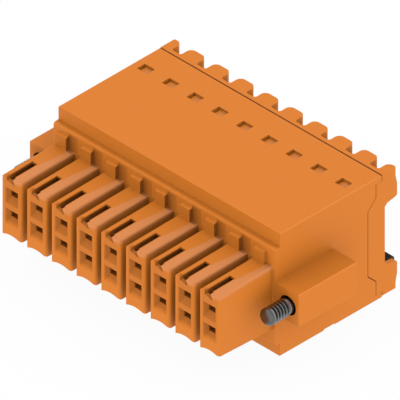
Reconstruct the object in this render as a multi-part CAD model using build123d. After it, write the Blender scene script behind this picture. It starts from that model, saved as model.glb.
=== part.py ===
from build123d import *
import os
from math import cos, radians, sin, tan

# Two-row socket header for a circuit board connector. Poles stand side by side along X,
# the mating fingers point to -Y, the wires enter from +Y, and the header lies on its
# underside at Z = 0. Lengths are in millimetres.

# Poles and rows
poles = 9
pitch = 3.5
end_relief = 0.05
body_height = 15.0

# Housing side outline, as depth behind the shoulder plane and height
shoulder_height = 1.6
nose_depth = 0.7
nose_round = 0.3
edge_round = 0.12
housing_depth = 14.4
lip_length = 0.85
lip_thickness = 0.7
rebate_height = 2.35
seam_slope = 1.15
seam_gap = 0.08
tongue_play = 0.02

# Mating fingers
finger_width = 2.6
finger_length = 7.63
finger_below_middle = 3.7
finger_height = 7.22
finger_top_rise = 0.13
finger_bottom_drop = 0.33
finger_corner = 0.4
finger_edge = 0.2
finger_groove_radius = 3.0
finger_groove_depth = 0.27
chamber_width = 1.9
chamber_start = 1.25
chamber_below_pin = 1.03
chamber_above_pin = 0.67
chamber_roof = 0.25

# Pin sockets in each finger
pin_width = 1.0
pin_height = 0.95
lower_pin_below_middle = 0.955
row_spacing = 2.53
pocket_width = 1.77
pocket_depth = 0.45
pocket_below_hole = 0.88
pocket_above_hole = 0.13

# Release slot and keying notch in the top of each finger
slot_left = -0.70
slot_right = 0.04
slot_end = 3.63
notch_depth = 0.48
notch_left_drop = 0.42
notch_right = 0.45
notch_right_drop = 0.68

# Rib on the nose above each finger
rib_left = -1.0
rib_right = 0.44
rib_proud = 0.39
rib_below_top = 2.32
rib_slope = 0.1

# Test recess in the roof over each pole, with a slit down to the clamp cell along its left side
recess_left = -0.80
recess_right = 0.64
recess_length = 1.13
recess_depth = 0.33
recess_place = 10.77
slit_width = 0.17

# Shallow channel across the underside
channel_start = 6.2
channel_length = 1.63
channel_depth = 0.18

# Clamp cells behind the fingers, one for each pole and row
cell_wall = 0.9
cell_front = 1.0
outer_wall = 0.9
septum = 1.2

# Screw flanges
flange_width = 3.35
flange_height = 3.9
flange_length = 8.23
screw_place = 1.8
screw_bore = 2.25
head_bore = 2.65
head_seat = 6.0

# Flange screws, M2
thread_diameter = 1.9
shank_diameter = 1.55
screw_tip = 3.23
tip_chamfer = 0.3
head_diameter = 2.5
head_height = 1.4
drive_slot_width = 0.4
drive_slot_depth = 0.6

# Rear cover
cover_skin = 0.44
cover_lift = 0.2
collar_reach = 1.74
fin_reach = 1.63
collar_below_top = 3.76
collar_slope = 0.22
step_foot_below_top = 1.97
step_head_below_top = 1.49
collar_root = 0.35
collar_corner = 0.18
scallop_width = 1.3
scallop_floor = 0.11
scallop_round = 0.65
scallop_corner = 0.2
end_fin_round = 0.2
wire_diameter = 2.1
wire_clearance = 0.05
funnel_diameter = 2.9
funnel_depth = 0.7

# Snap beads that hold the cover under the housing's lips
bead_width = 1.6
bead_rise = 0.2
bead_base = 0.5
bead_root = 0.1
bead_play = 0.06
bead_poles = (1, 3, 5, 7)

# Release pushers
pusher_width = 2.1
pusher_height = 1.45
pusher_below_top = 3.525
pusher_reach = 1.99
pusher_play = 0.05
pusher_side_play = 0.12
pusher_chamfer = 0.06
ear_play = 0.05
ear_height = 0.7
ear_length = 1.0
nose_height = 0.75
nose_gap = 0.08
dimple_width = 1.1
dimple_height = 0.5
dimple_depth = 0.35

# Contacts, stamped and folded from one strip
strip_thickness = 0.3
strip_play = 0.05
strip_width = 1.5
strip_rear_margin = 0.8
plate_width = 2.3
fork_start = 0.35
fork_thickness = 0.25
fork_outer = 0.85
fork_pinch = 0.42
fork_root = 3.9
fork_lead = 0.75
fork_head_play = 0.05
upright_place = 3.8
upright_head_play = 0.2
hook_length = 1.2
jog_start = 1.7
jog_end = 0.4

# Clamp springs
spring_thickness = 0.25
spring_width = 2.2
spring_play = 0.05
spring_bend = 0.55
spring_rear = 1.88
leg_angle = 50.0
leg_tip_gap = 0.08

# How far a cut runs past the face that it opens, and how near counts as the same place
overshoot = 1.0
same_place = 0.01

# Worked-out levels and places
body_width = poles * pitch - 2 * end_relief
mid_level = body_height / 2
cell_width = pitch - cell_wall
cell_inner = septum / 2
cell_outer = mid_level - outer_wall
seam_upper = housing_depth - lip_length
seam_middle = seam_upper - seam_slope
cover_plane = housing_depth + cover_skin
fingertip_depth = -(nose_depth + finger_length)
pusher_end = cover_plane + pusher_reach
shoulder_y = -(pusher_end + fingertip_depth) / 2
collar_face = cover_plane + collar_reach
fin_face = cover_plane + fin_reach
wire_level = cell_inner + strip_play + strip_thickness + wire_clearance + wire_diameter / 2
strip_inner = cell_inner + strip_play
strip_outer = strip_inner + strip_thickness
bend_depth = seam_middle - spring_rear
spring_support = cell_outer - upright_head_play - strip_thickness - spring_play - spring_thickness / 2
finger_bottom = mid_level - finger_below_middle
finger_top = finger_bottom + finger_height
lower_pin_level = mid_level - lower_pin_below_middle
pin_levels = {"upper": lower_pin_level + row_spacing, "lower": lower_pin_level}
chamber_tops = {"upper": finger_top - chamber_roof, "lower": lower_pin_level + chamber_above_pin}
collar_inner = mid_level - collar_below_top
pusher_inner = mid_level - pusher_below_top
row_sides = {"upper": 1, "lower": -1}
big = 2 * (body_width + flange_width)


def pole_x(pole):
    """Centre of a pole, counted from 0 at the left end."""
    return (pole - (poles - 1) / 2) * pitch


def y_at(depth):
    """Y of a place at this depth behind the shoulder plane."""
    return shoulder_y + depth


def block(x_range, depth_range, z_range):
    """Rectangular block between two faces along each direction."""
    (x0, x1), (d0, d1), (z0, z1) = x_range, depth_range, z_range
    centre = Pos((x0 + x1) / 2, y_at((d0 + d1) / 2), (z0 + z1) / 2)
    return centre * Box(x1 - x0, d1 - d0, z1 - z0)


def rib_of(side_outline, x_from, x_to):
    """Side outline of (depth, height) points, carried along X."""
    points = [(x_from, y_at(depth), z) for depth, z in side_outline]
    face = make_face(Polyline(*points, close=True))
    return extrude(face, amount=x_to - x_from, dir=(1, 0, 0))


def row_level(row, offset):
    """Height of a level that lies this far from the mid plane, on the row's own side."""
    return mid_level + row_sides[row] * offset


def mirrored_outline(outline):
    """Outline from the mid plane up, closed with its mirror image below the mid plane."""
    below = [(depth, 2 * mid_level - z) for depth, z in reversed(outline)]
    return outline + below


def rod(diameter, depth_range, x, z):
    """Round rod along Y."""
    d0, d1 = depth_range
    base = Plane(origin=(x, y_at(d0), z), z_dir=(0, 1, 0))
    return extrude(base * Circle(diameter / 2), amount=d1 - d0)


def cone_between(diameter_front, diameter_rear, depth_range, x, z):
    """Round taper along Y."""
    d0, d1 = depth_range
    middle = Plane(origin=(x, y_at((d0 + d1) / 2), z), z_dir=(0, 1, 0))
    return middle * Cone(diameter_front / 2, diameter_rear / 2, d1 - d0)


def plan_of(outline, z_from, z_to):
    """Plan outline of (x, depth) points, carried upwards."""
    points = [(x, y_at(depth), z_from) for x, depth in outline]
    face = make_face(Polyline(*points, close=True))
    return extrude(face, amount=z_to - z_from, dir=(0, 0, 1))


def housing_shell():
    """Body of the housing: nose, shoulders and the stepped rear edge that takes the cover."""
    upper_edge = [
        (seam_middle, body_height - rebate_height - seam_slope),
        (seam_upper, body_height - rebate_height),
        (seam_upper, body_height - lip_thickness),
        (housing_depth, body_height - lip_thickness),
        (housing_depth, body_height),
        (0, body_height),
        (0, body_height - shoulder_height),
        (-nose_depth, body_height - shoulder_height),
    ]
    shell = rib_of(mirrored_outline(upper_edge), -body_width / 2, body_width / 2)
    along_x = shell.edges().filter_by(Axis.X)
    nose_edges = along_x.filter_by(lambda e: abs(e.center().Y - y_at(-nose_depth)) < same_place)
    shell = fillet(nose_edges, nose_round)
    long_edges = shell.edges().filter_by(Axis.Y)
    outer_edges = long_edges.filter_by(
        lambda e: e.length > housing_depth / 2 and abs(abs(e.center().Z - mid_level) - mid_level) < same_place
    )
    return fillet(outer_edges, edge_round)


def flange(side):
    """Side flange with its stepped screw bore, on the left (-1) or the right (+1)."""
    inner = body_width / 2
    x_range = sorted((side * inner, side * (inner + flange_width)))
    z_range = (mid_level - flange_height / 2, mid_level + flange_height / 2)
    ear = block(x_range, (-nose_depth, flange_length - nose_depth), z_range)
    free_edges = ear.edges().filter_by(Axis.Y).filter_by(lambda e: abs(e.center().X) > inner + edge_round)
    return fillet(free_edges, edge_round)


def finger(x):
    """One mating finger, drafted top and bottom and grooved along its underside."""
    tip = fingertip_depth
    outline = [
        (tip, finger_bottom),
        (tip, finger_top),
        (-nose_depth, finger_top + finger_top_rise),
        (-nose_depth + nose_round, finger_top + finger_top_rise),
        (-nose_depth + nose_round, finger_bottom - finger_bottom_drop),
        (-nose_depth, finger_bottom - finger_bottom_drop),
    ]
    bar = rib_of(outline, x - finger_width / 2, x + finger_width / 2)
    long_top = bar.edges().filter_by(
        lambda e: e.center().Z > finger_top - same_place and e.length > finger_length / 2
    )
    bar = fillet(long_top, finger_edge)
    right = x + finger_width / 2
    corner = block((right - finger_corner, right), (tip, tip + finger_corner), (0, body_height))
    round_axis = Pos(right - finger_corner, y_at(tip + finger_corner), mid_level)
    bar -= corner - round_axis * Cylinder(finger_corner, body_height)
    slope = Vector(0, finger_length, -finger_bottom_drop).normalized()
    centre_z = finger_bottom - finger_groove_radius + finger_groove_depth
    start = Vector(x, y_at(tip), centre_z) - slope * overshoot
    section = Plane(origin=start, z_dir=slope) * Circle(finger_groove_radius)
    return bar - extrude(section, amount=finger_length + 2 * overshoot)


def socket_cut(x, row):
    """Lead-in pocket, pin hole and contact chamber of one socket."""
    tip = fingertip_depth
    pin_level = pin_levels[row]
    hole_low = pin_level - pin_height / 2
    hole_high = pin_level + pin_height / 2
    side_taper = [
        (tip, hole_low - pocket_below_hole),
        (tip, hole_high + pocket_above_hole),
        (tip + pocket_depth, hole_high),
        (tip + pocket_depth, hole_low),
    ]
    plan_taper = [
        (x - pocket_width / 2, tip),
        (x + pocket_width / 2, tip),
        (x + pin_width / 2, tip + pocket_depth),
        (x - pin_width / 2, tip + pocket_depth),
    ]
    pocket = rib_of(side_taper, x - pocket_width / 2, x + pocket_width / 2)
    pocket &= plan_of(plan_taper, 0, body_height)
    half_pin = pin_width / 2
    half_chamber = chamber_width / 2
    hole = block(
        (x - half_pin, x + half_pin),
        (tip + pocket_depth, tip + chamber_start),
        (hole_low, hole_high),
    )
    chamber = block(
        (x - half_chamber, x + half_chamber),
        (tip + chamber_start, cell_front),
        (pin_level - chamber_below_pin, chamber_tops[row]),
    )
    return [pocket, hole, chamber]


def slot_cut(x):
    """Release slot in the finger's top, with the sloping notch at its open end."""
    tip = fingertip_depth
    above = finger_top + finger_top_rise + finger_edge
    slot = block(
        (x + slot_left, x + slot_right),
        (tip + notch_depth, tip + slot_end),
        (pin_levels["upper"] + chamber_above_pin, above),
    )
    corners = [
        (slot_left, above),
        (slot_left, finger_top - notch_left_drop),
        (notch_right, finger_top - notch_right_drop),
        (slot_right, above),
    ]
    front = make_face(Polyline(*[(x + cx, y_at(tip - overshoot), cz) for cx, cz in corners], close=True))
    notch = extrude(front, amount=notch_depth + overshoot, dir=(0, 1, 0))
    return [slot, notch]


def nose_rib(x):
    """Rib that stands on the nose above a finger."""
    top = body_height - rib_below_top
    front = -nose_depth - rib_proud
    root = -nose_depth + nose_round
    outline = [
        (root, finger_top),
        (front, finger_top),
        (front, top - rib_slope),
        (-nose_depth, top),
        (root, top),
    ]
    return rib_of(outline, x + rib_left, x + rib_right)


def recess_cut(x):
    """Test recess in the roof, and the slit beside its floor."""
    left = x + recess_left
    above = body_height + overshoot
    half = recess_length / 2
    depths = (recess_place - half, recess_place + half)
    floor = block((left, x + recess_right), depths, (body_height - recess_depth, above))
    slit = block((left, left + slit_width), depths, (body_height - outer_wall - same_place, above))
    return [floor, slit]


def cell_cut(x, row):
    """Clamp cell of one pole in one row, open to the cover."""
    levels = sorted((row_level(row, cell_inner), row_level(row, cell_outer)))
    return block((x - cell_width / 2, x + cell_width / 2), (cell_front, seam_upper + same_place), levels)


def bead_outline(row, play):
    """Side outline of a snap bead, or of its pocket when play is more than 0."""
    tongue = mid_level - lip_thickness - tongue_play
    crest = tongue + bead_rise + play
    middle = housing_depth - lip_length / 2
    half = bead_base / 2 + play
    return [
        (middle - half, row_level(row, tongue - bead_root)),
        (middle - half, row_level(row, crest - bead_rise)),
        (middle, row_level(row, crest)),
        (middle + half, row_level(row, crest - bead_rise)),
        (middle + half, row_level(row, tongue - bead_root)),
    ]


def snap_beads(play):
    """Snap beads along both lips, standing between the poles."""
    half = bead_width / 2 + play
    beads = []
    for row in row_sides:
        for pole in bead_poles:
            x = pole_x(pole) + (pitch / 2 if pole < (poles - 1) / 2 else -pitch / 2)
            beads.append(rib_of(bead_outline(row, play), x - half, x + half))
    return beads


def screw_x(side):
    """Axis of the left (-1) or right (+1) flange screw."""
    return side * (body_width / 2 + screw_place)


def make_housing():
    solid = housing_shell() + [flange(-1), flange(1)]
    solid += [finger(pole_x(n)) for n in range(poles)] + [nose_rib(pole_x(n)) for n in range(poles)]
    cuts = []
    for n in range(poles):
        x = pole_x(n)
        for row in row_sides:
            cuts += socket_cut(x, row)
            cuts.append(cell_cut(x, row))
        cuts += slot_cut(x)
        cuts += recess_cut(x)
    half_body = body_width / 2 + overshoot
    channel_end = channel_start + channel_length
    cuts.append(block((-half_body, half_body), (channel_start, channel_end), (-overshoot, channel_depth)))
    for side in (-1, 1):
        flange_end = flange_length - nose_depth
        cuts.append(rod(screw_bore, (-nose_depth - overshoot, flange_end), screw_x(side), mid_level))
        cuts.append(rod(head_bore, (head_seat, flange_end + overshoot), screw_x(side), mid_level))
    cuts += snap_beads(bead_play)
    return solid - cuts


def cover_body():
    """Cover with its two collars, one over each row of pushers."""
    top = body_height
    low = cover_lift
    gap = seam_gap
    upper = [
        (cover_plane, mid_level + collar_inner - collar_root),
        (cover_plane + collar_root, mid_level + collar_inner),
        (collar_face - collar_corner, mid_level + collar_inner + collar_slope),
        (collar_face, mid_level + collar_inner + collar_slope + collar_corner),
        (collar_face, top - step_foot_below_top),
        (fin_face, top - step_head_below_top),
        (fin_face, top),
        (housing_depth + gap, top),
        (housing_depth + gap, top - lip_thickness - tongue_play),
        (seam_upper + gap, top - lip_thickness - tongue_play),
        (seam_upper + gap, top - rebate_height - gap / 2),
        (seam_middle + gap, top - rebate_height - seam_slope - gap / 2),
    ]
    body = rib_of(mirrored_outline(upper), -body_width / 2, body_width / 2)
    under = block((-big, big), (housing_depth, collar_face + overshoot), (-overshoot, low))
    body -= under
    corner = body.edges().filter_by(Axis.Z).filter_by(
        lambda e: abs(e.center().Y - y_at(fin_face)) < same_place
    )
    return fillet(corner, end_fin_round)


def scallop_cut(x, row):
    """Opening between two fins, with rounded lips, that lets a blade reach the pusher."""
    half = scallop_width / 2
    floor = cover_plane + scallop_floor
    lip = fin_face - scallop_round
    beyond = collar_face + overshoot
    wide = half + scallop_round
    right = [
        Line((0, floor), (half - scallop_corner, floor)),
        Line((half - scallop_corner, floor), (half, floor + scallop_corner)),
        Line((half, floor + scallop_corner), (half, lip)),
        RadiusArc((half, lip), (wide, fin_face), scallop_round),
        Line((wide, fin_face), (wide, beyond)),
        Line((wide, beyond), (0, beyond)),
    ]
    outline = Curve() + right
    profile = make_face(outline + mirror(outline, Plane.YZ))
    inner = pusher_inner + pusher_height + pusher_play
    levels = sorted((row_level(row, inner), row_level(row, mid_level + overshoot)))
    placed = Pos(x, shoulder_y, levels[0]) * profile
    return extrude(placed, amount=levels[1] - levels[0])


def pusher_cut(x, row):
    """Channel for a pusher through the cover, open towards the mid plane behind the cover."""
    half = pusher_width / 2 + pusher_side_play
    inner = pusher_inner - pusher_play
    outer = pusher_inner + pusher_height + pusher_play
    through = sorted((row_level(row, inner), row_level(row, outer)))
    opened = sorted((row_level(row, collar_inner - collar_root), row_level(row, outer)))
    return [
        block((x - half, x + half), (seam_middle, collar_face + overshoot), through),
        block((x - half, x + half), (cover_plane, collar_face + overshoot), opened),
    ]


def wire_cut(x, row):
    """Round wire entry with its lead-in funnel."""
    level = row_level(row, wire_level)
    hole = rod(wire_diameter, (seam_middle - overshoot, cover_plane + overshoot), x, level)
    funnel = cone_between(wire_diameter, funnel_diameter, (cover_plane - funnel_depth, cover_plane), x, level)
    return [hole, funnel]


def make_cover():
    cuts = []
    for n in range(poles):
        for row in row_sides:
            cuts.append(scallop_cut(pole_x(n), row))
            cuts += pusher_cut(pole_x(n), row)
            cuts += wire_cut(pole_x(n), row)
    return (cover_body() - cuts) + snap_beads(0)


def leg_depth(offset):
    """Depth of the clamp leg's centre line at this distance from the mid plane."""
    turn = radians(leg_angle)
    start_depth = bend_depth + spring_bend * sin(turn)
    start_offset = spring_support - spring_bend - spring_bend * cos(turn)
    return start_depth - (start_offset - offset) / tan(turn)


def make_spring(x, row):
    """Strip spring: support leg under the contact's hook, rear bend, clamp leg down to the strip."""
    turn = radians(leg_angle)
    front = upright_place + strip_thickness + spring_play
    tip_offset = strip_outer + leg_tip_gap + spring_thickness / 2
    bend_offset = spring_support - spring_bend

    def point(depth, offset):
        return (x - spring_width / 2, y_at(depth), row_level(row, offset))

    def strip_face(shift):
        """Edges of the strip's face that lies this far outside its centre line."""
        radius = spring_bend + shift
        swing = [radians(90), turn / 2, turn - radians(90)]
        bend = [point(bend_depth + radius * cos(a), bend_offset + radius * sin(a)) for a in swing]
        tip = point(leg_depth(tip_offset) + shift * sin(turn), tip_offset - shift * cos(turn))
        return [
            Line(point(front, spring_support + shift), bend[0]),
            ThreePointArc(*bend),
            Line(bend[2], tip),
        ]

    outer = strip_face(spring_thickness / 2)
    inner = strip_face(-spring_thickness / 2)
    ends = [Line(outer[0] @ 0, inner[0] @ 0), Line(outer[2] @ 1, inner[2] @ 1)]
    return extrude(make_face(outer + inner + ends), amount=spring_width, dir=(1, 0, 0))


def make_contact(x, row):
    """Contact: fork in the finger, strip under the wire, and an upright that hooks the spring."""
    tip = fingertip_depth + chamber_start
    pin = pin_levels[row]
    plate_top = pin - chamber_below_pin + strip_play + strip_thickness
    plate_low = plate_top - strip_thickness
    strip = sorted((row_level(row, strip_inner), row_level(row, strip_outer)))
    plate_end = -nose_depth - jog_start
    jog_end_depth = cell_front - jog_end
    outline = [
        (tip + fork_start, plate_low),
        (tip + fork_start, plate_top),
        (plate_end, plate_top),
        (jog_end_depth, strip[1]),
        (cell_front + strip_play, strip[1]),
        (cell_front + strip_play, strip[0]),
        (jog_end_depth, strip[0]),
        (plate_end, plate_low),
    ]
    front = rib_of(outline, x - strip_width / 2, x + strip_width / 2)
    rear_end = seam_middle - strip_rear_margin
    half_plate = plate_width / 2
    rear = block((x - half_plate, x + half_plate), (cell_front + strip_play, rear_end), strip)

    head = cell_outer - upright_head_play
    levels = sorted((row_level(row, strip_inner), row_level(row, head)))
    upright = block(
        (x - half_plate, x + half_plate),
        (upright_place, upright_place + strip_thickness),
        levels,
    )
    hook_levels = sorted((row_level(row, head - strip_thickness), row_level(row, head)))
    hook = block((x - half_plate, x + half_plate), (upright_place, upright_place + hook_length), hook_levels)

    fork_top = pin + chamber_above_pin - fork_head_play
    inner_root = fork_outer - fork_thickness
    mouth = tip + fork_start
    pinch = mouth + fork_lead
    arm = [
        (inner_root, mouth),
        (fork_pinch, pinch),
        (inner_root, mouth + fork_root),
        (fork_outer, mouth + fork_root),
        (fork_pinch + fork_thickness, pinch),
        (fork_outer, mouth),
    ]
    arms = []
    for side in (-1, 1):
        corners = [(x + side * ax, y_at(depth), plate_low) for ax, depth in arm]
        face = make_face(Polyline(*corners, close=True))
        arms.append(extrude(face, amount=fork_top - plate_low, dir=(0, 0, 1)))
    return front + [rear, upright, hook] + arms


def make_pusher(x, row):
    """Release pusher: blade-dimpled head, two stop ears, and a nose that bears on the spring."""
    low = pusher_inner
    high = pusher_inner + pusher_height
    nose_top = low + nose_height
    seat = seam_middle + seam_gap - (body_height - rebate_height - seam_slope - seam_gap / 2 - mid_level)
    leg_face = spring_thickness / 2 / sin(radians(leg_angle)) + nose_gap
    shoulder = seam_middle + pusher_play

    def side(outline, half_width):
        placed = [(depth, row_level(row, offset)) for depth, offset in outline]
        return rib_of(placed, x - half_width, x + half_width)

    head = side(
        [
            (shoulder, low),
            (shoulder, nose_top),
            (seam_upper, high),
            (pusher_end - pusher_chamfer, high),
            (pusher_end, high - pusher_chamfer),
            (pusher_end, low + pusher_chamfer),
            (pusher_end - pusher_chamfer, low),
        ],
        pusher_width / 2,
    )
    nose = side(
        [
            (leg_depth(low) + leg_face, low),
            (leg_depth(nose_top) + leg_face, nose_top),
            (shoulder, nose_top),
            (shoulder, low),
        ],
        pusher_width / 2,
    )
    ears = side(
        [
            (shoulder - ear_length, low),
            (seat + low - pusher_play, low),
            (seat + low + ear_height - pusher_play, low + ear_height),
            (shoulder - ear_length, low + ear_height),
        ],
        cell_width / 2 - ear_play,
    )
    mid = (low + high) / 2
    levels = sorted((row_level(row, mid - dimple_height / 2), row_level(row, mid + dimple_height / 2)))
    dimple = block(
        (x - dimple_width / 2, x + dimple_width / 2),
        (pusher_end - dimple_depth, pusher_end + overshoot),
        levels,
    )
    return (head + [nose, ears]) - dimple


def make_screw(side):
    """Flange screw: chamfered thread ahead of the flange, thinner shank inside it, slotted head."""
    x = screw_x(side)
    tip = -nose_depth - screw_tip
    root = thread_diameter - 2 * tip_chamfer
    point = cone_between(root, thread_diameter, (tip, tip + tip_chamfer), x, mid_level)
    thread = rod(thread_diameter, (tip + tip_chamfer, -nose_depth), x, mid_level)
    shank = rod(shank_diameter, (-nose_depth, head_seat), x, mid_level)
    head = rod(head_diameter, (head_seat, head_seat + head_height), x, mid_level)
    top = head_seat + head_height
    half_slot = drive_slot_width / 2
    slot = block(
        (x - head_diameter, x + head_diameter),
        (top - drive_slot_depth, top + overshoot),
        (mid_level - half_slot, mid_level + half_slot),
    )
    return (shank + [point, thread, head]) - slot


def save(name, solid, colour):
    solid.label = name
    solid.color = Color(*colour)
    export_step(solid, os.path.join("parts", name + ".step"))


os.makedirs("parts", exist_ok=True)
orange = (0.86, 0.42, 0.12)
black = (0.03, 0.03, 0.03)
tin = (0.75, 0.75, 0.72)
steel = (0.45, 0.46, 0.48)

save("housing", make_housing(), orange)
save("rear_cover", make_cover(), orange)
for side_name, side_sign in (("left", -1), ("right", 1)):
    save("flange_screw_" + side_name, make_screw(side_sign), steel)
for row_name in row_sides:
    for number in range(poles):
        centre_x = pole_x(number)
        ending = row_name + "_" + str(number + 1)
        save("pusher_" + ending, make_pusher(centre_x, row_name), black)
        save("contact_" + ending, make_contact(centre_x, row_name), tin)
        save("clamp_spring_" + ending, make_spring(centre_x, row_name), steel)
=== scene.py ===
import bmesh
import bpy
import numpy as np
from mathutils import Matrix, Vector


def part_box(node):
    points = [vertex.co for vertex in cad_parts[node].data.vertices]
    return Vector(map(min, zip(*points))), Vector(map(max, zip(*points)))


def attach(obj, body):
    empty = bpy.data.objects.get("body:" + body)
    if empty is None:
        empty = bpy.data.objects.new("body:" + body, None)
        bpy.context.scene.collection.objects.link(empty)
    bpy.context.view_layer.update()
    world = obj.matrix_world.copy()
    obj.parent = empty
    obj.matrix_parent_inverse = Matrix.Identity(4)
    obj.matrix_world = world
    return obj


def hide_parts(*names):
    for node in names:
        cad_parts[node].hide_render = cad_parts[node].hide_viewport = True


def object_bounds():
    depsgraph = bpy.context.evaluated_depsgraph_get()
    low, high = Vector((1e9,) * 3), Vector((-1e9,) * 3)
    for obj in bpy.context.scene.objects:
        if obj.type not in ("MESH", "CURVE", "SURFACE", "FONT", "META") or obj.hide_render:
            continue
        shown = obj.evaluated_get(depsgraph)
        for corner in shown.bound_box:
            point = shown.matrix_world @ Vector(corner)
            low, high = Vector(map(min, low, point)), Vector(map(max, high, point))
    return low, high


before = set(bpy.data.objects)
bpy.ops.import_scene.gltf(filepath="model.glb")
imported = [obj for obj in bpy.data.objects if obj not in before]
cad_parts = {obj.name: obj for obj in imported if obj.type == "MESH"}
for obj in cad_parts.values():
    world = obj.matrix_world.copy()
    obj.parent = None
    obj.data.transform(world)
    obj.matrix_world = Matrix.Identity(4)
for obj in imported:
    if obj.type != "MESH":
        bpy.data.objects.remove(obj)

MM = 0.001
cad_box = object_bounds()

# The header is seen as in an isometric drawing: every edge of its box is equally short, and
# parallel edges stay parallel, so the camera is orthographic. It looks down from the right front
# onto the roof, the fingers' faces and the right end.
view_from = Vector((1, -1, 1)).normalized()
aimed_at = Vector((0.03, 0.07, 9.18)) * MM
picture_side = 40.07 * MM
camera_away = 300 * MM

camera = bpy.data.objects.new("camera", bpy.data.cameras.new("camera"))
camera.data.type = "ORTHO"
camera.data.ortho_scale = picture_side
camera.data.clip_start = 0.1 * camera_away
camera.data.clip_end = 10 * camera_away
camera.location = aimed_at + view_from * camera_away
camera.rotation_mode = "QUATERNION"
camera.rotation_quaternion = view_from.to_track_quat("Z", "Y")
bpy.context.scene.collection.objects.link(camera)
bpy.context.scene.camera = camera
bpy.context.scene.view_settings.view_transform = "Standard"


# The studio is a white tent that lights every side alike, so that shade gathers only where parts
# of the header stand close together. The table is white paper lit from below, which keeps a
# faint shadow where the header covers it.
class Shade:
    """A socket in a material's node tree. Arithmetic on it adds Math nodes."""

    def __init__(self, tree, socket=None):
        self.tree = tree
        self.socket = socket

    def node(self, kind, settings=None, inputs=None, output=0):
        """Adds a node. Its settings are set first, then its sockets get values or links."""
        made = self.tree.nodes.new(kind)
        for name, value in (settings or {}).items():
            setattr(made, name, value)
        for name, value in (inputs or {}).items():
            if isinstance(value, Shade):
                self.tree.links.new(value.socket, made.inputs[name])
            else:
                made.inputs[name].default_value = value
        return Shade(self.tree, made.outputs[output] if made.outputs else None)

    def maths(self, operation, *values):
        """A Math node on one or two numbers or sockets."""
        return self.node("ShaderNodeMath", {"operation": operation}, dict(enumerate(values)))

    def __add__(self, other):
        return self.maths("ADD", self, other)

    def __radd__(self, other):
        return self.maths("ADD", other, self)

    def __sub__(self, other):
        return self.maths("SUBTRACT", self, other)

    def __rsub__(self, other):
        return self.maths("SUBTRACT", other, self)

    def __mul__(self, other):
        return self.maths("MULTIPLY", self, other)

    def __rmul__(self, other):
        return self.maths("MULTIPLY", other, self)

    def axes(self):
        """The three numbers of a vector."""
        split = self.node("ShaderNodeSeparateXYZ", inputs={0: self})
        return [Shade(self.tree, output) for output in split.socket.node.outputs]

    def above(self, edge, soft):
        """0 below the edge and 1 above it, with a ramp of this width between."""
        ramp = {0: self, 1: edge - soft / 2, 2: edge + soft / 2}
        return self.node("ShaderNodeMapRange", inputs=ramp)

    def below(self, edge, soft):
        """1 below the edge and 0 above it, with a ramp of this width between."""
        return 1 - self.above(edge, soft)

    def between(self, low, high, soft):
        """1 between two edges and 0 outside them, with a ramp of this width at each."""
        return self.above(low, soft) * self.below(high, soft)

    def mix(self, first, second):
        """A colour that goes from the first to the second as this value goes from 0 to 1."""
        ends = [end if isinstance(end, Shade) else (*end, 1) for end in (first, second)]
        return self.node(
            "ShaderNodeMix", {"data_type": "RGBA"}, {0: self, 6: ends[0], 7: ends[1]}, output=2
        )


world = bpy.data.worlds.new("white_tent")
world.use_nodes = True
world.node_tree.nodes.clear()
tent = Shade(world.node_tree)
tent_light = tent.node("ShaderNodeBackground", inputs={"Color": (1, 1, 1, 1), "Strength": 1.0})
tent.node("ShaderNodeOutputWorld", inputs={"Surface": tent_light})
bpy.context.scene.world = world

table_half = 0.6
table_drop = 0.01 * MM
paper_glow = 0.95


def grid_mesh(name, points, wrap=False):
    """A mesh from an array of points (rows, columns, 3), with a quad between every two rows and
    two columns. Wrapped, it also joins the last column to the first."""
    rows, columns = points.shape[:2]
    number = np.arange(rows * columns).reshape(rows, columns)
    if wrap:
        number = np.hstack([number, number[:, :1]])
    quads = np.stack([number[:-1, :-1], number[:-1, 1:], number[1:, 1:], number[1:, :-1]], axis=-1)
    mesh = bpy.data.meshes.new(name)
    mesh.from_pydata(points.reshape(-1, 3), [], quads.reshape(-1, 4))
    mesh.update()
    made = bpy.data.objects.new(name, mesh)
    bpy.context.scene.collection.objects.link(made)
    return made


reach = np.linspace(-table_half, table_half, 2)
table_points = np.stack([*np.meshgrid(reach, reach), np.full((2, 2), -table_drop)], axis=-1)
table = grid_mesh("table", table_points)
paper = bpy.data.materials.new("white_paper")
paper.use_nodes = True
paper.node_tree.nodes.clear()
sheet = Shade(paper.node_tree)
matt = sheet.node("ShaderNodeBsdfDiffuse", inputs={"Color": (1, 1, 1, 1)})
glow = sheet.node("ShaderNodeEmission", inputs={"Color": (1, 1, 1, 1), "Strength": 1.0})
seen = sheet.node("ShaderNodeMixShader", inputs={0: paper_glow, 1: matt, 2: glow})
sheet.node("ShaderNodeOutputMaterial", inputs={"Surface": seen})
table.data.materials.append(paper)


# The housing is one moulding in orange polyamide, satin from a finely sparked mould. Its tone
# drifts a little where the melt flowed. The pale strips are a painted sheen, and the dark walls
# and the dark beside each rib are painted shade, laid by place, and not forms.
edge_round = 0.09 * MM
edge_angle = np.radians(25)
weld_reach = 0.0005 * MM
flat_angle = np.radians(0.5)
orange_deep = (0.758, 0.219, 0.024)
orange_light = (0.772, 0.225, 0.027)
# The paler colour on edges that lean right and up is a painted highlight.
edge_highlight_tone = (0.84, 0.275, 0.055)
# Nearly black for light bounced between faces: this takes out bounced light and deepens the shade
# in corners, painted shade.
bounce_shade_tone = (0.06, 0.016, 0.004)
edge_lean, edge_blur = 0.26, 0.2


def plain_material(name):
    """A material with a Principled shader and nothing else, and a handle on its node tree."""
    material = bpy.data.materials.new(name)
    material.use_nodes = True
    material.node_tree.nodes.clear()
    return material, Shade(material.node_tree)


def finish_with(handle, settings):
    """Joins a Principled shader with these socket values to the material's output."""
    shader = handle.node("ShaderNodeBsdfPrincipled", inputs=settings)
    handle.node("ShaderNodeOutputMaterial", inputs={"Surface": shader})


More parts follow.
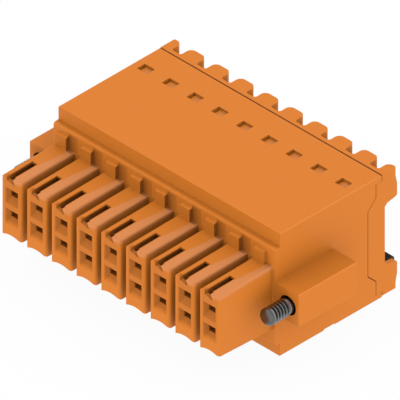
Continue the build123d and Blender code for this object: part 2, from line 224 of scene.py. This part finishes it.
def noise(handle, size, detail=2.0):
    """Smooth noise from 0 to 1, whose lumps are about this size in metres."""
    place = handle.node("ShaderNodeTexCoord", output=3)
    return handle.node(
        "ShaderNodeTexNoise", inputs={"Vector": place, "Scale": 1 / size, "Detail": detail}
    )


def seen_by_bounce(plastic):
    """1 where light that has already left a matt face meets this one, and 0 everywhere else."""
    return plastic.node("ShaderNodeLightPath", output=2)


def moulded_plastic(name, deep, light, rough, grain, gloss, tones=None):
    """Satin moulded plastic: drifting tone, patchy gloss and a fine spark-eroded grain. Edges
    that lean right and up are painted paler, a painted highlight: there the normal's x times its z
    is high. For light bounced from other faces the colour is nearly black, which takes out the
    light bounced between faces and paints deeper shade into the corners, so they go brown. Tones
    is a function that lays further tones over the colour."""
    material, plastic = plain_material(name)
    flow = noise(plastic, 4.0 * MM)
    side, _, up = plastic.node("ShaderNodeTexCoord", output=1).axes()
    tone = (side * up).above(edge_lean, edge_blur).mix(flow.mix(deep, light), edge_highlight_tone)
    if tones:
        tone = tones(plastic, tone)
    patches = noise(plastic, 0.8 * MM)
    sparked = noise(plastic, 0.05 * MM, detail=1.0)
    bump = plastic.node(
        "ShaderNodeBump", inputs={"Strength": grain, "Distance": 0.01 * MM, "Height": sparked}
    )
    finish_with(
        plastic,
        {
            "Base Color": seen_by_bounce(plastic).mix(tone, bounce_shade_tone),
            "Roughness": rough + 0.12 * (patches - 0.5),
            "Specular IOR Level": gloss,
            "Normal": bump,
        },
    )
    return material


def dress(node, material):
    """Gives a CAD node its material in place of its own."""
    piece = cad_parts[node]
    piece.data.materials.clear()
    piece.data.materials.append(material)
    return piece


def soften_edges(piece, width):
    """Small rounds on the sharp edges, after loose triangles are joined into whole faces. The
    modifier holds them to what the shortest edge allows, which on the housing and the cover is
    about 0.005 mm. Without that limit their fine edges turn into spikes."""
    piece.modifiers.new("join", "WELD").merge_threshold = weld_reach
    flat = piece.modifiers.new("whole_faces", "DECIMATE")
    flat.decimate_type = "DISSOLVE"
    flat.angle_limit = flat_angle
    rounds = piece.modifiers.new("rounds", "BEVEL")
    rounds.width = width
    rounds.segments = 2
    rounds.limit_method = "ANGLE"
    rounds.angle_limit = edge_angle
    rounds.harden_normals = True


poles = len([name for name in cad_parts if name.startswith("pusher_upper")])
pitch = 3.5 * MM
tip_y = cad_box[0].y
seam_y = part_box("housing")[1].y
finger_length = 7.61 * MM
finger_top = 11.02 * MM
top_rise = 0.13 / 8.33
finger_half = 1.33 * MM
fingers_half = (poles - 1) / 2 * pitch + 1.34 * MM
crisp = 0.02 * MM

# A paler colour for a painted sheen on the strips right of the release slots and on the recess
# floors.
painted_sheen_tone = (0.77, 0.272, 0.085)
strip_edge, strip_blur = 0.12 * MM, 0.24 * MM
bend_width, bend_at, bend_length = 0.45 * MM, 4.6 * MM, 3.0 * MM
strip_lift, strip_depth = -0.06 * MM, 0.36 * MM
recess_levels = 14.60 * MM, 14.72 * MM
recess_ends = 18.0 * MM, 20.6 * MM
recess_edge, recess_blur, recess_share = -0.25 * MM, 0.2 * MM, 0.7

# Painted shade on the walls of the release slots and pin chambers.
chamber_shade_tone = (0.38, 0.105, 0.014)
chamber_half, chamber_low = 1.05 * MM, 5.2 * MM
rim_depth, rim_blur = 0.12 * MM, 0.14 * MM
pocket_depth = 0.5 * MM

# Painted shade on the fingers' faces and pockets, beside each rib, in the screw bores and along the
# seam.
painted_shade_tone = (0.06, 0.014, 0.004)
pocket_front, pocket_half = 0.05 * MM, 0.93 * MM
front_share, pocket_share = 0.14, 0.17
front_blur, front_low, front_low_blur = 0.2 * MM, 5.5 * MM, 0.4 * MM
rib_edge, rib_blur, rib_share = 0.43 * MM, 0.03 * MM, 0.55
fade_share, fade_at, fade_length = 0.62, 1.1 * MM, 1.2 * MM
nose_front, nose_back, nose_half = 7.2 * MM, 7.72 * MM, 14.42 * MM
rib_low, rib_high = 11.1 * MM, 13.0 * MM
bore_radius, bore_front = 1.15 * MM, 7.68 * MM
seam_width, seam_low = 0.09 * MM, 14.93 * MM

screw_low, screw_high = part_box("flange_screw_right")
screw_x = (screw_low.x + screw_high.x) / 2
screw_z = (screw_low.z + screw_high.z) / 2


def from_axis(handle):
    """How far a point lies from the axis of the nearer screw, which are at x and at -x."""
    across, _, height = handle.node("ShaderNodeTexCoord", output=3).axes()
    aside = across.maths("ABSOLUTE", across) - screw_x
    height = height - screw_z
    square = aside * aside + height * height
    return square.maths("SQRT", square)


def housing_tones(plastic, tone):
    """The strip right of each release slot and the floors of the test recesses are painted paler,
    a painted sheen. The walls of the slots and pin chambers are painted dark, and the fingers'
    faces and pockets, the nose right of each rib, the screw bores and the seam line are painted
    darker too: all painted shade. Across counts from the middle of the nearest finger, and under
    counts down from the gently rising top."""
    across, along, height = plastic.node("ShaderNodeTexCoord", output=3).axes()
    from_middle = across.maths("ABSOLUTE", across)
    across = across.maths("FRACT", across * (1 / pitch) + 0.5) * pitch - 0.5 * pitch
    width = across.maths("ABSOLUTE", across)
    along = along - tip_y
    under = finger_top + top_rise * along - height
    in_row = from_middle.below(fingers_half, crisp)
    on_finger = along.below(finger_length, crisp) * in_row

    # Painted sheen on the strip right of each release slot.
    strip = (
        (across - bend_width * along.above(bend_at, bend_length)).above(strip_edge, strip_blur)
        * across.below(finger_half, crisp / 2)
        * under.above(strip_lift, crisp)
        * under.below(strip_depth, strip_depth)
        * on_finger
    )
    recess_floor = (
        height.between(*recess_levels, crisp)
        * along.between(*recess_ends, crisp)
        * across.above(recess_edge, recess_blur)
        * in_row
    )
    front = (
        (front_share + pocket_share * along.above(pocket_front, 2 * crisp)
         * width.below(pocket_half, crisp))
        * along.below(pocket_depth, crisp)
        * width.below(chamber_half, front_blur)
        * height.above(front_low, front_low_blur)
    )
    tone = (strip + recess_share * recess_floor).mix(front.mix(tone, painted_shade_tone), painted_sheen_tone)

    # Painted shade inside the slots and pin chambers.
    inside = (
        width.below(chamber_half, crisp)
        * under.above(rim_depth, rim_blur)
        * height.above(chamber_low, crisp)
        * along.above(pocket_depth, 2 * crisp)
        * on_finger
    )
    tone = inside.mix(tone, chamber_shade_tone)

    # Painted shadow of each rib on the nose to its right.
    beside_rib = (
        across.above(rib_edge, rib_blur)
        * (1 - fade_share * across.above(fade_at, fade_length))
        * along.above(nose_front, crisp)
        * along.below(nose_back, 2 * crisp)
        * height.above(rib_low, 5 * crisp)
        * height.below(rib_high, 15 * crisp)
        * from_middle.below(nose_half, crisp)
    )
    tone = (rib_share * beside_rib).mix(tone, painted_shade_tone)
    # Painted shade in the screw bores and in the seam gap between housing and cover.
    bore = from_axis(plastic).below(bore_radius, crisp) * along.above(bore_front, 2 * crisp)
    seam = along.above(seam_y - tip_y - seam_width, crisp) * height.above(seam_low, crisp)
    return (bore + seam).mix(tone, painted_shade_tone)


orange_rough, orange_grain, orange_gloss = 0.5, 0.15, 0.12
orange_finish = (orange_deep, orange_light, orange_rough, orange_grain, orange_gloss)
housing_plastic = moulded_plastic("housing_orange", *orange_finish, housing_tones)
soften_edges(dress("housing", housing_plastic), edge_round)

# The rear cover is a second moulding from the same orange pellets. It is snapped in between the
# housing's lips and closes the clamp cells from behind.
cover_plastic = moulded_plastic("cover_orange", *orange_finish)
soften_edges(dress("rear_cover", cover_plastic), edge_round)

# The 18 release pushers are moulded in black and are a little smoother than the housing, from
# the screwdriver blade that presses them. Their rounds leave points a hair apart, which a last
# weld joins, so that each pusher is a closed mesh.
pusher_round = 0.03 * MM
black_deep = (0.0035, 0.0035, 0.0035)
black_light = (0.006, 0.006, 0.006)
black_rough, black_grain, black_gloss = 0.42, 0.12, 0.1
black_plastic = moulded_plastic(
    "pusher_black", black_deep, black_light, black_rough, black_grain, black_gloss
)
clamps = [f"{row}_{number}" for row in ("upper", "lower") for number in range(1, poles + 1)]
for clamp in clamps:
    pusher = dress("pusher_" + clamp, black_plastic)
    soften_edges(pusher, pusher_round)
    pusher.modifiers.new("close_points", "WELD").merge_threshold = weld_reach

# The contacts are stamped from copper alloy strip and tinned, so they are pale and satin with
# faint rolling marks.
tin_material, tin = plain_material("tin_plate")
finish_with(
    tin,
    {
        "Base Color": noise(tin, 0.6 * MM).mix((0.60, 0.59, 0.56), (0.72, 0.71, 0.68)),
        "Metallic": 1.0,
        "Roughness": 0.3 + 0.15 * noise(tin, 0.2 * MM),
    },
)
for clamp in clamps:
    dress("contact_" + clamp, tin_material)

# The clamp springs are bent from bright stainless strip. Each hooks its contact's upright, and
# its free leg presses the wire against the contact.
spring_material, strip = plain_material("spring_strip")
finish_with(
    strip,
    {
        "Base Color": noise(strip, 0.6 * MM).mix((0.45, 0.45, 0.46), (0.56, 0.56, 0.57)),
        "Metallic": 1.0,
        "Roughness": 0.22 + 0.12 * noise(strip, 0.2 * MM),
    },
)
for clamp in clamps:
    dress("clamp_spring_" + clamp, spring_material)

# The flange screws are zinc-plated steel, M2, with a domed point and a rolled thread ahead of the
# flange, a thinner shank inside it and a slotted head at the back. Each turns in its own bore.
thread_pitch = 0.4 * MM
crest_radius = 0.98 * MM
root_radius = 0.70 * MM
shank_radius = 0.775 * MM
thread_length = 3.23 * MM
point_length = 0.5 * MM
neck_length = 0.5 * MM
neck_radius = 0.88 * MM
dome_length = 0.42 * MM
dome_start = 0.58
shank_length = 6.7 * MM
head_radius = 1.25 * MM
head_length = 1.4 * MM
slot_half = 0.2 * MM
slot_deep = 0.6 * MM
columns = 64
rows_per_turn = 16
flat_share, flank_share = 0.12, 0.76
face_size = 0.6
lug_gap = 0.02 * MM
lug_bevel, lug_top = 0.08 * MM, 0.93
lug_points = 33


def thread_radius(turn):
    """Radius at a share of one pitch: a narrow crest, two straight flanks and a narrow root."""
    share = np.abs((turn % 1.0) - 0.5) * 2
    rise = np.clip((share - flat_share) / flank_share, 0, 1)
    return crest_radius + (root_radius - crest_radius) * rise


def turned_screw(name, axis_x, axis_z, start_y):
    """Thread, shank and lower head as one turned surface. Along the thread the rows follow the
    helix: row i and turn angle a lie at y = start + pitch * (i / rows_per_turn + a / 2 pi - 1). The
    point is domed, the thread fades in behind it and fades out into a plain neck."""
    turns = int(np.ceil(thread_length / thread_pitch)) + 1
    row = np.arange(turns * rows_per_turn + 1)[:, None] / rows_per_turn
    angle = np.linspace(0, 2 * np.pi, columns + 1)[None, :]
    along = thread_pitch * (row + angle / (2 * np.pi) - 1)
    cut = np.clip((along - point_length) / thread_pitch + 0.5, 0, 1)
    radius = crest_radius + (thread_radius(row) - crest_radius) * cut
    neck = np.clip((along - thread_length + neck_length) / (0.5 * thread_pitch), 0, 1)
    radius = radius + (neck_radius - radius) * neck
    dome = np.sqrt(np.clip(1 - (1 - np.clip(along, 0, dome_length) / dome_length) ** 2, 0, 1))
    radius = radius * (dome_start + (1 - dome_start) * dome)
    along = np.clip(along, 0, thread_length)
    head_start = shank_length + thread_length
    slot_floor = head_start + head_length - slot_deep
    face = [(0, 0.0), (0, crest_radius * dome_start * face_size)]
    head = [
        (thread_length, shank_radius),
        (head_start, shank_radius),
        (head_start, head_radius),
        (slot_floor, head_radius),
        (slot_floor, 0.0),
    ]

    def ring(place, size):
        return np.full((1, columns + 1), place), np.full((1, columns + 1), size)

    front = [ring(*pair) for pair in face]
    back = [ring(*pair) for pair in head]
    along = np.vstack([pair[0] for pair in front] + [along] + [pair[0] for pair in back])
    radius = np.vstack([pair[1] for pair in front] + [radius] + [pair[1] for pair in back])
    angle = np.broadcast_to(angle, along.shape)
    points = np.stack(
        [axis_x + radius * np.cos(angle), start_y + along, axis_z + radius * np.sin(angle)],
        axis=-1,
    )
    return grid_mesh(name, points)


def head_lug(name, axis_x, axis_z, low_y, high_y, side):
    """Half of the slotted head: a segment of a disc on each of five levels, drawn in towards its
    own middle at the first and last, so that both ends close and the top edge is turned off."""
    half_angle = np.arccos(slot_half / head_radius)
    angle = side * np.pi / 2 + np.linspace(-half_angle, half_angle, lug_points)
    rim = np.stack([np.cos(angle), np.sin(angle)], axis=-1) * head_radius
    middle = rim.mean(axis=0)
    bevel_y = high_y - lug_bevel
    levels = [(low_y, 0.0), (low_y, 1.0), (bevel_y, 1.0), (high_y, lug_top), (high_y, 0.0)]
    rings = []
    for place, size in levels:
        flat = middle + (rim - middle) * size
        depth = np.full(len(flat), place)
        rings.append(np.column_stack([axis_x + flat[:, 0], depth, axis_z + flat[:, 1]]))
    return grid_mesh(name, np.array(rings), wrap=True)


def close_mesh(piece):
    """Merges the points of seams and poles, drops faces without area and points faces outwards."""
    work = bmesh.new()
    work.from_mesh(piece.data)
    bmesh.ops.remove_doubles(work, verts=work.verts, dist=1e-7)
    bmesh.ops.dissolve_degenerate(work, edges=work.edges, dist=1e-8)
    bmesh.ops.recalc_face_normals(work, faces=work.faces)
    work.to_mesh(piece.data)
    work.free()


def joined(name, pieces):
    """Several meshes in one object."""
    work = bmesh.new()
    for piece in pieces:
        close_mesh(piece)
        work.from_mesh(piece.data)
        bpy.data.objects.remove(piece)
    mesh = bpy.data.meshes.new(name)
    work.to_mesh(mesh)
    work.free()
    made = bpy.data.objects.new(name, mesh)
    bpy.context.scene.collection.objects.link(made)
    return made


# The zinc is painted darker in the grooves, between the point and the neck, and on the domed point:
# painted shade.
zinc_dark, zinc_light = (0.16, 0.16, 0.165), (0.34, 0.34, 0.33)
groove_shade_tone, point_shade_tone, point_share = (0.12, 0.12, 0.122), (0.04, 0.04, 0.045), 0.5
groove_radius, groove_blur = 0.88 * MM, 0.14 * MM
groove_start, groove_start_blur = 0.4 * MM, 0.1 * MM
point_blur = 0.2 * MM

zinc_material, zinc = plain_material("zinc_plate")
behind_tip = zinc.node("ShaderNodeTexCoord", output=3).axes()[1] - screw_low.y
groove = (
    from_axis(zinc).below(groove_radius, groove_blur)
    * behind_tip.above(groove_start, groove_start_blur)
    * behind_tip.below(thread_length - neck_length, crisp)
)
bright = noise(zinc, 0.3 * MM).mix(zinc_dark, zinc_light)
bright = (point_share * behind_tip.below(point_length, point_blur)).mix(bright, point_shade_tone)
finish_with(
    zinc,
    {
        "Base Color": groove.mix(bright, groove_shade_tone),
        "Metallic": 1.0,
        "Roughness": 0.26 + 0.10 * noise(zinc, 0.4 * MM),
    },
)
for side in ("left", "right"):
    low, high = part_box("flange_screw_" + side)
    axis_x = (low.x + high.x) / 2
    axis_z = (low.z + high.z) / 2
    body = turned_screw("screw_body", axis_x, axis_z, low.y)
    lugs = [
        head_lug("screw_lug", axis_x, axis_z, high.y - slot_deep - lug_gap, high.y, way)
        for way in (-1, 1)
    ]
    screw = joined("threaded_screw_" + side, [body, *lugs])
    screw.data.materials.append(zinc_material)
    screw.data.polygons.foreach_set("use_smooth", np.ones(len(screw.data.polygons), bool))
    screw.data.set_sharp_from_angle(angle=np.radians(30))
    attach(screw, "screw_" + side)
    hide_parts("flange_screw_" + side)
